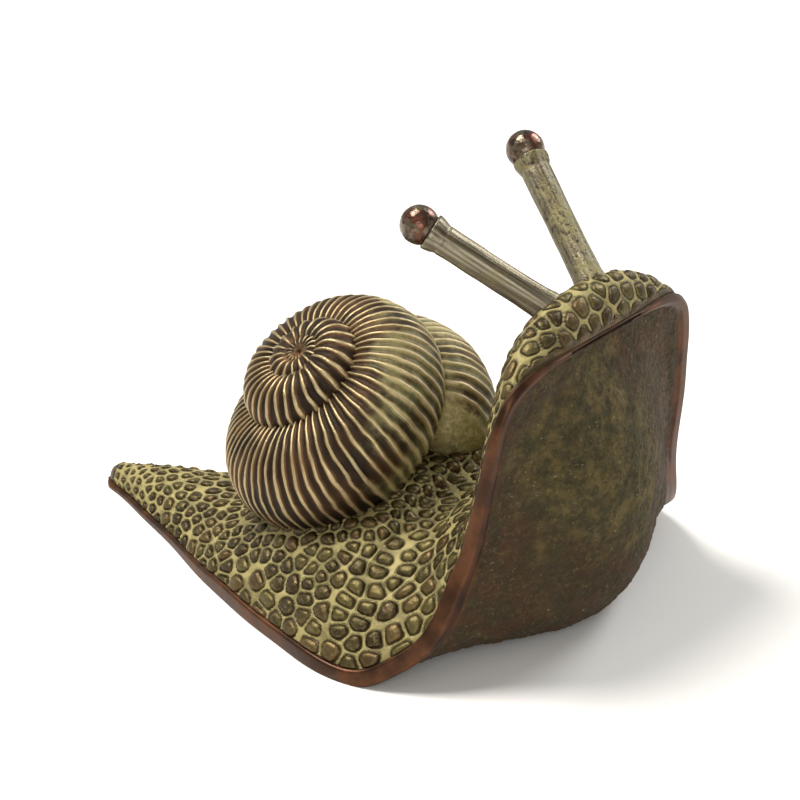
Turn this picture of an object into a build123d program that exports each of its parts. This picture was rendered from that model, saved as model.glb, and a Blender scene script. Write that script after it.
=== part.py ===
"""Snail figurine: a small cast-bronze snail, rearing, with a ribbed shell and two eye stalks.

Millimetres. +X is where the snail looks, +Y its left, +Z up. The piece is shaped about the fold of its
foot and then moved so that the origin lies under the middle of its bounding box, on the table.
"""
from build123d import *
from math import cos, exp, log, radians, sin
import os

# Foot and body
TAIL_REACH = 64.2          # from the fold of the foot back to the tail tip
FOOT_HALF_WIDTH = 29.8     # widest half of the foot, just behind the fold
TAIL_BEND = 7.4            # how far the tail swings to the snail's right
BACK_HEIGHT = 17.6         # top of the back under the shell, above the table
FOLD_BACK = 13.0           # centre of the fold, behind the front of the foot
FOLD_HEIGHT = 21.0         # centre of the fold, above the table
HEAD_HEIGHT = 38.4         # front edge of the raised foot, above the table
HEAD_LEAN = 7.3            # how far that edge leans forward of the fold
NECK_DEPTH = 6.6           # from the rim of the raised half to its nape
BELLY_DEPTH = 9.0          # how far the belly stands out of the sole, at most
SKIN_INSET = 0.5           # the skin lies this far inside the smooth rim
SKIN_SINK = 0.4            # and is shaped from this far below the rim's top
RIM_HEIGHT = 2.2           # thickness of the smooth rim
RIM_FULL_HEIGHT = 8.5      # the rim has its full thickness where the back stands this high over the sole
RIM_LAND = 1.6             # width of the smooth rim round the belly
REST_FILE = 0.25           # filed off the sole, so that it rests flat
WALL = 2.6                 # cast wall of the back
HOLLOW_RISE = 3.6          # the hollow of the back ends where the foot has risen this far above the table

# Shell
APEX_PLACE = (-29.4, -13.7, 32.8)      # tip of the spire
AXIS_SHARES = (-0.228, -0.531, 0.816)  # direction of the spire, as shares of its length
COIL_RADIUS = 7.7          # from the axis to the middle of the whorl, one turn before the last
COIL_DROP = 11.0           # from the apex down to that middle
WHORL_FILL = 0.82          # radius of the whorl, as a share of the coil radius
GROWTH = 2.07              # growth of the spire in one turn
LAST_GROWTH = 0.95         # growth over the last turn
SLOW_FROM = 400            # degrees: the growth starts to slow
SLOW_TO = 500              # degrees: the growth has slowed
COIL_START = -330          # degrees: the first whorl that is modelled
COIL_END = 720             # degrees: the mouth
TIP_UNTIL = 30             # degrees: up to here the spire is flatter than below
TIP_RISE_SHARE = 0.5       # its rise there, as a share of the rise below
COIL_STEP = 30             # degrees between two sections
KNOB_SHARE = 1.04          # the round ends of the coil, as a share of the whorl's radius there
COIL_SPAN = 6              # steps in one lofted length of the coil
COIL_FINE = 5              # degrees in one step of the drop's sum
CORE_SHARE = 0.3           # radius of the pillar inside the whorls, as a share of its depth
COIL_HEADING = 38          # degrees: heading of the line that coil angles count from

# Eye stalks
STALK_DIAMETER = 3.7
STALK_FLARE = 4.1          # diameter of the ring under the bead
FLARE_LENGTH = 1.0
BEAD_DIAMETER = 4.7
TENON_DIAMETER = 2.4
TENON_LENGTH = 1.9
SPIGOT_DIAMETER = 1.6
SPIGOT_LENGTH = 2.4
STALK_SINK = 0.8           # the stalk stands this far in the head
BEAD_SEAT = 1.9            # from the middle of the bead to the flat that it sits on
BORE_SPARE = 0.2           # a blind bore is this much deeper than what it takes
FIT = 0.06                 # radial clearance of tenons, spigots and pins
STALK_ACROSS = 4.06        # each stalk leaves the head this far off the middle
BASE_SHARES = (-0.776, 0.492)          # that place from the head's front edge, as shares of the neck's depth
RIGHT_REACH = (-12.64, -5.74, 8.05)    # from there to the middle of the ring under the right bead
LEFT_REACH = (-13.15, 5.74, 10.28)     # and under the left one

# Fixings
STUD_PLACE = (-21.0, -3.1)
STUD_DIAMETER = 4.0
STUD_IN_SHELL = 9.0        # thread length above the back
STUD_TAIL = 0.8            # thread that shows below the nut
BOSS_DIAMETER = 10.0
BOSS_DROP = 2.8            # boss below the ceiling of the hollow
WASHER_DIAMETER = 8.6
WASHER_THICKNESS = 0.8
NUT_ACROSS_FLATS = 7.0
NUT_HEIGHT = 3.0
HOLE_CLEARANCE = 0.25      # radial, round the stud
WASHER_COVER = 0.6         # free height between the washer's edge and the ceiling, at least
PIN_DIAMETER = 2.0
PIN_LENGTH = 6.0
PIN_BOSS = 5.0             # diameter of the lugs that take the pins
SIDE_PIN_ACROSS = 17.0     # the two side pins stand this far off the middle
TAIL_PIN_SHARE = 0.72      # the pin in the tail stands at this share of the reach
PIN_COVER = 0.9            # metal left over both ends of a blind pin

UP = Vector(0, 0, 1)
BOX = 4 * TAIL_REACH       # a block larger than the snail

# Half of a cross-section of the back, from the rim to the crown: width share, height share
DOME_SHARES = ((1.0, 0.0), (0.94, 0.22), (0.82, 0.48), (0.61, 0.77), (0.33, 0.945), (0.0, 1.0))

# Half of a cross-section of the belly, from its edge to its keel: width share, depth share
BELLY_SHARES = ((1.0, 0.0), (0.8, 0.217), (0.6, 0.5), (0.4, 0.76), (0.2, 0.937), (0.0, 1.0))

# The tail half: shares of the reach, of the bend, of the half width and of the back's height
TAIL_SHARES = (
    (1.0, 0.97, 0.040, 0.145), (0.985, 0.975, 0.058, 0.165), (0.955, 0.98, 0.080, 0.185), (0.91, 0.99, 0.115, 0.215),
    (0.85, 1.0, 0.172, 0.245), (0.72, 0.985, 0.300, 0.30), (0.61, 0.87, 0.450, 0.38), (0.51, 0.66, 0.597, 0.55),
    (0.41, 0.37, 0.755, 0.79), (0.30, 0.10, 0.90, 0.96), (0.2025, 0.0, 0.985, 1.0),
)
# The fold, in fans about its centre: degrees, shares of the centre's height, of the half width, of the back's height,
# of the belly's depth and of the belly's breadth
FOLD_SHARES = (
    (20, 1.045, 0.975, 0.965, 0.04, 1.0), (30, 1.025, 0.925, 0.91, 0.30, 1.0), (40, 1.0, 0.855, 0.83, 0.66, 1.0),
    (60, 0.865, 0.745, 0.60, 1.0, 1.0), (77, 0.825, 0.70, 0.43, 0.95, 0.95),
)
# The raised half: degrees of lean, shares of the head's height, of its lean, of the half width, of the neck's depth,
# of the belly's depth, of the belly's breadth and of the rim's thickness
NECK_SHARES = (
    (4, 0.60, 0.66, 0.685, 0.96, 0.80, 0.9, 1.0), (8, 0.72, 0.74, 0.665, 0.95, 0.62, 0.85, 0.93),
    (14, 0.81, 0.80, 0.65, 1.02, 0.45, 0.8, 0.8), (27, 0.888, 0.865, 0.62, 1.14, 0.28, 0.8, 0.65),
    (47, 0.94, 0.915, 0.575, 1.22, 0.15, 0.8, 0.55), (66, 0.973, 0.948, 0.49, 1.12, 0.06, 0.8, 0.55),
    (78, 0.993, 0.98, 0.375, 0.85, 0.0, 0.8, 0.55), (86, 1.0, 1.0, 0.22, 0.55, 0.0, 0.8, 0.55),
)


class Station:
    """One cross-section of the foot: a plane across it, its half width, its height, its belly and its rim."""

    def __init__(self, x, y, z, lean, half, height, belly=0.0, breadth=1.0, edge=1.0):
        self.origin = Vector(x, y, z)
        up = radians(lean)
        self.up = Vector(-sin(up), 0, cos(up))
        self.half = half
        self.height = height
        self.belly = belly
        self.breadth = breadth
        self.edge = edge

    def at(self, across, high):
        """Point of this section, measured across it and up from the sole."""
        return self.origin + Vector(0, across, 0) + self.up * high

    def rim(self):
        """Thickness of the rim here: it thins with the tail and towards the head."""
        return RIM_HEIGHT * self.edge * min(1.0, self.height / RIM_FULL_HEIGHT)


def make_stations():
    """Every cross-section, from the tail tip to the front edge of the head."""
    rows = []
    for reach, bend, half, high in TAIL_SHARES:
        rows.append(Station(-TAIL_REACH * reach, -TAIL_BEND * bend, 0, 0, FOOT_HALF_WIDTH * half, BACK_HEIGHT * high))
    for angle, far, half, high, belly, breadth in FOLD_SHARES:
        turn = radians(angle)
        x = -FOLD_BACK + FOLD_HEIGHT * far * sin(turn)
        z = FOLD_HEIGHT - FOLD_HEIGHT * far * cos(turn)
        rows.append(Station(x, 0, z, angle, FOOT_HALF_WIDTH * half, BACK_HEIGHT * high, BELLY_DEPTH * belly, breadth))
    for lean, high, forward, half, deep, belly, breadth, edge in NECK_SHARES:
        rows.append(Station(HEAD_LEAN * forward, 0, HEAD_HEIGHT * high, 90 - lean, FOOT_HALF_WIDTH * half,
                            NECK_DEPTH * deep, BELLY_DEPTH * belly, breadth, edge))
    return rows


def dome_wire(station, half, base, top, shares=DOME_SHARES):
    """Closed section: a straight base and a dome over it, or under it where the top is the lower."""
    right = [station.at(-half * w, base + (top - base) * h) for w, h in shares]
    left = [station.at(half * w, base + (top - base) * h) for w, h in reversed(shares[:-1])]
    dome = Edge.make_spline(right + left)
    return Wire([Edge.make_line(left[-1], right[0]), dome])


def slab_wire(station, half, base, top):
    """Closed section with four straight sides."""
    corners = [station.at(-half, base), station.at(half, base), station.at(half, top), station.at(-half, top)]
    return Wire.make_polygon(corners, close=True)


def skin_body(rows):
    """The outside of the back, solid down into the rim."""
    return Solid.make_loft([dome_wire(s, s.half - SKIN_INSET, s.rim() - SKIN_SINK, s.height) for s in rows])


def rim_slab(rows):
    """The smooth rim, as a slab under the whole foot."""
    return Solid.make_loft([slab_wire(s, s.half, 0, s.rim()) for s in rows])


def belly_body(rows):
    """The rough belly of the raised half, from the middle of the slab outward."""
    inside = [s for s in rows if s.belly > 0]
    return Solid.make_loft([
        dome_wire(s, (s.half - RIM_LAND) * s.breadth, s.rim() / 2, -s.belly, BELLY_SHARES) for s in inside
    ])


def back_hollow(rows):
    """The hollow inside the back casting, less its lugs for the side pins and its boss for the stud."""
    tail = tail_station(rows)
    inside = [s for s in rows if s.origin.X > tail.origin.X and s.origin.Z < HOLLOW_RISE]
    inset = SKIN_INSET + WALL
    hollow = Solid.make_loft([dome_wire(s, s.half - inset, s.rim() / 2, s.height - WALL) for s in inside])
    for station, across, bottom, top in pin_seats(rows)[1:3]:
        hollow = hollow.cut(rod(station.at(across, 0), station.up, station.height, PIN_BOSS / 2))
    return hollow.cut(rod(stud_point(boss_bottom()), UP, STUD_IN_SHELL, BOSS_DIAMETER / 2))


def coil_scale(angle):
    """Size of the whorl at an angle, one at a full turn, with the growth slowing in the last turn."""
    fast = log(GROWTH) / 360
    slow = log(LAST_GROWTH) / 360
    if angle <= SLOW_FROM:
        return exp(fast * (angle - 360))
    ramp = SLOW_TO - SLOW_FROM
    grown = fast * (SLOW_FROM - 360)
    part = min(angle, SLOW_TO) - SLOW_FROM
    grown += fast * part + (slow - fast) * part * part / (2 * ramp)
    grown += slow * max(0.0, angle - SLOW_TO)
    return exp(grown)


def coil_table():
    """Angle, size and drop of every section of the coil."""
    fast = log(GROWTH) / 360
    flattened = (1 - TIP_RISE_SHARE) * (coil_scale(TIP_UNTIL) - coil_scale(COIL_START))
    drop = COIL_DROP * (coil_scale(COIL_START) + flattened)
    table = []
    for angle in range(COIL_START, COIL_END + 1, COIL_FINE):
        if (angle - COIL_START) % COIL_STEP == 0 or angle == COIL_END:
            table.append((angle, coil_scale(angle), drop))
        rise = TIP_RISE_SHARE if angle < TIP_UNTIL else 1.0
        drop += COIL_DROP * rise * fast * coil_scale(angle + COIL_FINE / 2) * COIL_FINE
    return table


def shell_axis():
    """Direction of the spire."""
    return Vector(*AXIS_SHARES).normalized()


def coil_section(row):
    """Plane across the whorl at one angle, and the whorl's radius there."""
    angle, size, drop = row
    axis = shell_axis()
    heading = Vector(cos(radians(COIL_HEADING)), sin(radians(COIL_HEADING)), 0)
    first = (heading - axis * heading.dot(axis)).normalized()
    second = axis.cross(first)
    out = first * cos(radians(-angle)) + second * sin(radians(-angle))
    middle = Vector(*APEX_PLACE) + out * (COIL_RADIUS * size) - axis * drop
    return Plane(origin=middle, x_dir=out, z_dir=out.cross(axis)), COIL_RADIUS * WHORL_FILL * size


def rod(start, direction, length, radius):
    """Round bar from a point along a direction."""
    return Solid.make_cylinder(radius, length, Plane(origin=start, z_dir=direction))


def largest(shape):
    """The biggest solid of a cut: crumbs that a cut leaves behind are dropped."""
    return max(shape.solids(), key=lambda solid: solid.volume)


def shared(one, other):
    """What two solids have in common."""
    return largest(one.intersect(other))


def make_coil():
    """The whorls, lofted a half turn at a time and joined to a pillar along the axis."""
    sections = [coil_section(row) for row in coil_table()]
    circles = [Wire.make_circle(radius, plane) for plane, radius in sections]
    coil = None
    for first in range(0, len(circles) - 1, COIL_SPAN):
        span = Solid.make_loft(circles[first:first + COIL_SPAN + 1])
        coil = span if coil is None else coil.fuse(span)
    tip, mouth = sections[0], sections[-1]
    for plane, radius in (tip, mouth):
        coil = coil.fuse(Solid.make_sphere(radius * KNOB_SHARE, Plane(origin=plane.origin)))
    top, bottom = coil_table()[0][2], coil_table()[-1][2]
    pillar = Plane(origin=Vector(*APEX_PLACE) - shell_axis() * top, z_dir=-shell_axis())
    return coil.fuse(Solid.make_cone(top * CORE_SHARE, bottom * CORE_SHARE, bottom - top, pillar))


def back_height_at(x):
    """Height of the back's crown over the tail half."""
    points = [(-TAIL_REACH * reach, BACK_HEIGHT * high) for reach, bend, half, high in TAIL_SHARES]
    for (x0, z0), (x1, z1) in zip(points, points[1:]):
        if x <= x1:
            return z0 + (z1 - z0) * (x - x0) / (x1 - x0)
    return points[-1][1]


def boss_bottom():
    """Height of the flat that the washer bears on, clear of the ceiling where it falls away over the washer."""
    crown = back_height_at(STUD_PLACE[0])
    fall = crown - back_height_at(STUD_PLACE[0] - WASHER_DIAMETER / 2)
    return crown - WALL - max(BOSS_DROP, fall + WASHER_COVER)


def stud_top():
    """Height of the stud's upper end, inside the shell."""
    return back_height_at(STUD_PLACE[0]) + STUD_IN_SHELL


def tail_station(rows):
    """The section that the pin in the tail stands on."""
    return min(rows, key=lambda s: abs(s.origin.X + TAIL_REACH * TAIL_PIN_SHARE))


def pin_seats(rows):
    """Section, place across it, bottom and top of each foot pin, blind at both ends."""
    tail = tail_station(rows)
    side = rows[len(TAIL_SHARES) - 1]
    neck = rows[len(TAIL_SHARES) + len(FOLD_SHARES) + 1]
    return [
        (tail, 0, PIN_COVER, tail.height - PIN_COVER),
        (side, -SIDE_PIN_ACROSS, PIN_COVER, PIN_COVER + PIN_LENGTH),
        (side, SIDE_PIN_ACROSS, PIN_COVER, PIN_COVER + PIN_LENGTH),
        (neck, 0, PIN_COVER - neck.belly, neck.height - PIN_COVER),
    ]


def pin_body(seat, radius, spare=0.0):
    """Round bar where a pin goes, longer at both ends by what is spare."""
    station, across, bottom, top = seat
    return rod(station.at(across, bottom - spare), station.up, top - bottom + 2 * spare, radius)


def make_foot(rows):
    """Rim and bellied sole, with blind bores for the pins."""
    foot = rim_slab(rows).fuse(belly_body(rows))
    for seat in pin_seats(rows):
        foot = foot.cut(pin_body(seat, PIN_DIAMETER / 2 + FIT, BORE_SPARE))
    return largest(foot)


def make_back(rows, stalks):
    """The pebbled back, neck and head: hollow, with lugs for the pins, a boss for the stud and two sockets."""
    back = largest(skin_body(rows).cut(rim_slab(rows)))
    back = back.cut(back_hollow(rows))
    back = back.cut(rod(stud_point(0), UP, stud_top(), STUD_DIAMETER / 2 + HOLE_CLEARANCE))
    for seat in pin_seats(rows):
        back = back.cut(pin_body(seat, PIN_DIAMETER / 2 + FIT, BORE_SPARE))
    for stalk in stalks:
        back = back.cut(stalk.socket())
    return largest(back)


def make_shell(rows):
    """Shell with its seat shaped to the back, drilled for the stud."""
    shell = make_coil().cut(skin_body(rows))
    shell = shell.cut(rod(stud_point(0), UP, stud_top() + BORE_SPARE, STUD_DIAMETER / 2 + FIT))
    return largest(shell)


def stud_point(height):
    """Point on the stud's axis."""
    return Vector(*STUD_PLACE, height)


def make_stud():
    bottom = boss_bottom() - WASHER_THICKNESS - NUT_HEIGHT - STUD_TAIL
    return rod(stud_point(bottom), UP, stud_top() - bottom, STUD_DIAMETER / 2)


def make_washer():
    start = stud_point(boss_bottom() - WASHER_THICKNESS)
    blank = rod(start, UP, WASHER_THICKNESS, WASHER_DIAMETER / 2)
    return blank.cut(rod(start, UP, WASHER_THICKNESS, STUD_DIAMETER / 2 + HOLE_CLEARANCE))


def make_nut():
    start = stud_point(boss_bottom() - WASHER_THICKNESS - NUT_HEIGHT)
    outline = Plane(origin=start) * RegularPolygon(NUT_ACROSS_FLATS / 2, 6, major_radius=False)
    blank = extrude(outline, NUT_HEIGHT).solid()
    return blank.cut(rod(start, UP, NUT_HEIGHT, STUD_DIAMETER / 2 + FIT))


def make_pins(rows):
    """The foot pins that hold the foot casting to the back."""
    return [pin_body(seat, PIN_DIAMETER / 2) for seat in pin_seats(rows)]


class Stalk:
    """One eye stalk, from its socket in the head to the ring under its bead."""

    def __init__(self, side, reach):
        back, up = (NECK_DEPTH * share for share in BASE_SHARES)
        self.base = Vector(HEAD_LEAN + back, side * STALK_ACROSS, HEAD_HEIGHT + up)
        self.tip = self.base + Vector(*reach)
        self.length = (self.tip - self.base).length
        self.out = (self.tip - self.base).normalized()

    def body(self):
        """Rod with a flared ring, a spigot for the bead and a tenon for the head."""
        foot = self.base - self.out * STALK_SINK
        body = rod(foot, self.out, self.length + STALK_SINK, STALK_DIAMETER / 2)
        ring = Solid.make_cone(STALK_DIAMETER / 2, STALK_FLARE / 2, FLARE_LENGTH,
                               Plane(origin=self.tip - self.out * FLARE_LENGTH, z_dir=self.out))
        spigot = rod(self.tip, self.out, SPIGOT_LENGTH, SPIGOT_DIAMETER / 2)
        tenon = rod(foot, -self.out, TENON_LENGTH, TENON_DIAMETER / 2)
        return body.fuse(ring).fuse(spigot).fuse(tenon).solid()

    def socket(self):
        """What the head loses for the stalk."""
        foot = self.base - self.out * STALK_SINK
        mouth = rod(foot, self.out, self.length / 2, STALK_DIAMETER / 2 + FIT)
        return mouth.fuse(rod(foot, -self.out, TENON_LENGTH + BORE_SPARE, TENON_DIAMETER / 2 + FIT))

    def bead(self):
        """Ball with a flat against the ring and a bore for the spigot."""
        middle = self.tip + self.out * BEAD_SEAT
        ball = Solid.make_sphere(BEAD_DIAMETER / 2, Plane(origin=middle, z_dir=self.out))
        ball = ball.cut(rod(self.tip, -self.out, BEAD_DIAMETER, BEAD_DIAMETER))
        return ball.cut(rod(self.tip, self.out, SPIGOT_LENGTH + BORE_SPARE, SPIGOT_DIAMETER / 2 + FIT)).solid()


def make_nodes():
    """Every piece of the snail, by name, about the fold of its foot."""
    rows = make_stations()
    right = Stalk(-1, RIGHT_REACH)
    left = Stalk(1, LEFT_REACH)
    return {
        "back_casting": [make_back(rows, (left, right))],
        "foot_casting": [make_foot(rows)],
        "shell_casting": [make_shell(rows)],
        "eye_stalk_left": [left.body()],
        "eye_stalk_right": [right.body()],
        "eye_bead_left": [left.bead()],
        "eye_bead_right": [right.bead()],
        "shell_stud": [make_stud()],
        "shell_washer": [make_washer().solid()],
        "shell_nut": [make_nut().solid()],
        "foot_pins": make_pins(rows),
    }


def filed_flat(solid):
    """What is left of a piece when the foot is filed flat to stand on."""
    return shared(solid, Solid.make_box(BOX, BOX, BOX, Plane(origin=(-BOX / 2, -BOX / 2, REST_FILE))))


def main():
    os.makedirs("parts", exist_ok=True)
    nodes = make_nodes()
    nodes["foot_casting"] = [filed_flat(nodes["foot_casting"][0])]
    bounds = Compound([solid for solids in nodes.values() for solid in solids]).bounding_box()
    middle = bounds.center()
    shift = Location((-middle.X, -middle.Y, -bounds.min.Z))
    for name, solids in nodes.items():
        placed = [shift * solid for solid in solids]
        export_step(placed[0] if len(placed) == 1 else Compound(placed), "parts/" + name + ".step")
    print("moved by", shift.position, "size", bounds.size)


if __name__ == "__main__":
    main()
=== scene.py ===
"""Looks of the bronze snail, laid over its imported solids.

Shapes are worked out in millimetres about the fold of the foot (the work frame) and become metres in the
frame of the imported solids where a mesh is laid. Every finish is made of nodes on Object coordinates and on
the mesh's own attributes.
"""
import logging
import math
import random
from dataclasses import dataclass
from enum import Enum

import bmesh
import bpy
import numpy as np
from mathutils import Matrix, Vector, kdtree, noise


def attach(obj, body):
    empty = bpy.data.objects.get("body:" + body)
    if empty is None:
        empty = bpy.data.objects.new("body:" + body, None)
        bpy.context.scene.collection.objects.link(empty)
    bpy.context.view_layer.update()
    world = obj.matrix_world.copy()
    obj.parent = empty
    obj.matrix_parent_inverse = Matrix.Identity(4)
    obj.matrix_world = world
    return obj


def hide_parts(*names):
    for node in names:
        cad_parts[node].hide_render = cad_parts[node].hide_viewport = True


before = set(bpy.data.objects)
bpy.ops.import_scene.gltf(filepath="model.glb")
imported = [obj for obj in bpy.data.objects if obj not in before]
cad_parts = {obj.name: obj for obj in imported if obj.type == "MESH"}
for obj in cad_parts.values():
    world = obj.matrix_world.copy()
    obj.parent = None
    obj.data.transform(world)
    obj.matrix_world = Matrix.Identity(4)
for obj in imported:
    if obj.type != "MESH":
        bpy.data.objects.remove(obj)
LOG = logging.getLogger("snail")
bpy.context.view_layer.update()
MM = 0.001
WORK_ORIGIN = Vector((25.9388, -0.0478, -0.25))
ROOT = "root"
TINY = 1e-9
SAME_PLACE = 2e-7

Pair = tuple[float, float]
Triple = tuple[float, float, float]
Socket = bpy.types.NodeSocket
Value = Socket | float | Triple
Material = bpy.types.Material


def placed(point: Vector | Triple) -> Vector:
    """Turn a point of the work frame into the frame of the solids.

    Args:
        point: in millimetres.
    Returns:
        The same point, in metres.
    """
    return (Vector(point) + WORK_ORIGIN) * MM


def smoothstep(low: float, high: float, value: np.ndarray) -> np.ndarray:
    """Ease from 0 to 1.

    Args:
        low: where the ease starts.
        high: where it ends.
        value: numbers to ease.
    Returns:
        A share from 0 to 1 for each number.
    """
    share = np.clip((value - low) / (high - low), 0.0, 1.0)
    return share * share * (3.0 - 2.0 * share)


class SmoothTable:
    """Rows of numbers joined by a natural cubic through all of them."""

    def __init__(self, knots: list[float], rows: list[tuple[float, ...]]) -> None:
        """Solve the second derivatives once.

        Args:
            knots: where each row stands, growing.
            rows: the numbers of each row.
        """
        self.knots = np.array(knots, float)
        self.rows = np.array(rows, float)
        count = len(knots)
        step = np.diff(self.knots)
        matrix = np.eye(count)
        right = np.zeros_like(self.rows)
        for k in range(1, count - 1):
            matrix[k, k - 1:k + 2] = step[k - 1], 2 * (step[k - 1] + step[k]), step[k]
            rise = (self.rows[k + 1] - self.rows[k]) / step[k] - (self.rows[k] - self.rows[k - 1]) / step[k - 1]
            right[k] = 6 * rise
        self.bend = np.linalg.solve(matrix, right)

    def at(self, where: np.ndarray) -> np.ndarray:
        """Read the table.

        Args:
            where: places along the knots.
        Returns:
            One row of numbers for each place.
        """
        where = np.asarray(where, float)
        k = np.clip(np.searchsorted(self.knots, where, side="right") - 1, 0, len(self.knots) - 2)
        step = (self.knots[k + 1] - self.knots[k])[..., None]
        b = ((where - self.knots[k])[..., None]) / step
        a = 1.0 - b
        curve = (a ** 3 - a) * self.bend[k] + (b ** 3 - b) * self.bend[k + 1]
        return a * self.rows[k] + b * self.rows[k + 1] + curve * step ** 2 / 6.0


def round_off(way: np.ndarray, length: float) -> np.ndarray:
    """Quarter of a circle that rounds an end.

    Args:
        way: how far each row lies from the end.
        length: of the rounding.
    Returns:
        Shares, 0 at the end and 1 from that length on.
    """
    return np.sqrt(1 - (1 - np.clip(way / length, 0.0, 1.0)) ** 2)


def fractal(points: np.ndarray, scale: float, octaves: int = 3) -> np.ndarray:
    """Soft noise on an array of points.

    Args:
        points: places, in millimetres, as rows of three.
        scale: cells of noise in a millimetre.
        octaves: layers of finer noise.
    Returns:
        One number near -1 to 1 for each place.
    """
    flat = points.reshape(-1, 3) * scale
    values = [noise.fractal(Vector(p), 0.7, 2.0, octaves) for p in flat]
    return np.array(values).reshape(points.shape[:-1])


def surface_normals(points: np.ndarray, wrap: bool) -> np.ndarray:
    """Normals of a laid grid.

    Args:
        points: rows by columns by three.
        wrap: whether the last column meets the first.
    Returns:
        Unit normals of the same shape.
    """
    along = np.gradient(points, axis=0)
    if wrap:
        across = (np.roll(points, -1, axis=1) - np.roll(points, 1, axis=1)) / 2
    else:
        across = np.gradient(points, axis=1)
    normals = np.cross(along, across)
    length = np.linalg.norm(normals, axis=2, keepdims=True)
    return normals / np.maximum(length, TINY)


def lay_grid(name: str, points: np.ndarray, layers: dict[str, np.ndarray]) -> bpy.types.Object:
    """Lay a flat grid on an array of places and close it.

    Args:
        name: of the new piece.
        points: rows by columns by three, in millimetres of the work frame.
        layers: numbers that the finish reads, by attribute name, rows by columns each.
    Returns:
        The new object, its last column joined to its first and both ends closed.
    """
    rows, cols = points.shape[:2]
    nx, ny = cols, rows - 1
    bm = bmesh.new()
    bmesh.ops.create_grid(bm, x_segments=nx, y_segments=ny, size=1.0)
    keys = {key: bm.verts.layers.float.new(key) for key in layers}
    metres = (points + np.array(WORK_ORIGIN)) * MM
    for vert in bm.verts:
        i = round((vert.co.x + 1) / 2 * nx) % cols
        j = round((vert.co.y + 1) / 2 * ny)
        vert.co = metres[j, i]
        for key, layer in keys.items():
            vert[layer] = float(layers[key][j, i])
    bmesh.ops.remove_doubles(bm, verts=bm.verts[:], dist=SAME_PLACE)
    bmesh.ops.holes_fill(bm, edges=[edge for edge in bm.edges if edge.is_boundary], sides=0)
    bmesh.ops.recalc_face_normals(bm, faces=bm.faces[:])
    return finish_mesh(name, bm)


def finish_mesh(name: str, bm: bmesh.types.BMesh) -> bpy.types.Object:
    """Turn a bmesh into a smooth-shaded object at the origin.

    Args:
        name: of the new piece.
        bm: the shape, in metres; it is freed.
    Returns:
        The new object.
    """
    mesh = bpy.data.meshes.new(name)
    bm.to_mesh(mesh)
    bm.free()
    mesh.polygons.foreach_set("use_smooth", [True] * len(mesh.polygons))
    mesh.update()
    piece = bpy.data.objects.new(name, mesh)
    bpy.context.scene.collection.objects.link(piece)
    return piece


def settle(piece: bpy.types.Object, node: str, finish: Material) -> bpy.types.Object:
    """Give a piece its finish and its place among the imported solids.

    Args:
        piece: the new object.
        node: of the solids, which the piece stands for.
        finish: the material.
    Returns:
        The piece.
    """
    piece.data.materials.clear()
    piece.data.materials.append(finish)
    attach(piece, ROOT)
    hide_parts(node)
    LOG.info("%s: %d faces for %s", piece.name, len(piece.data.polygons), node)
    return piece


@dataclass(frozen=True)
class Cells:
    """Noise of one size: cells in a metre, how many layers of finer cells, and their weight."""

    scale: float
    detail: float = 4.0
    roughness: float = 0.55


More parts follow.
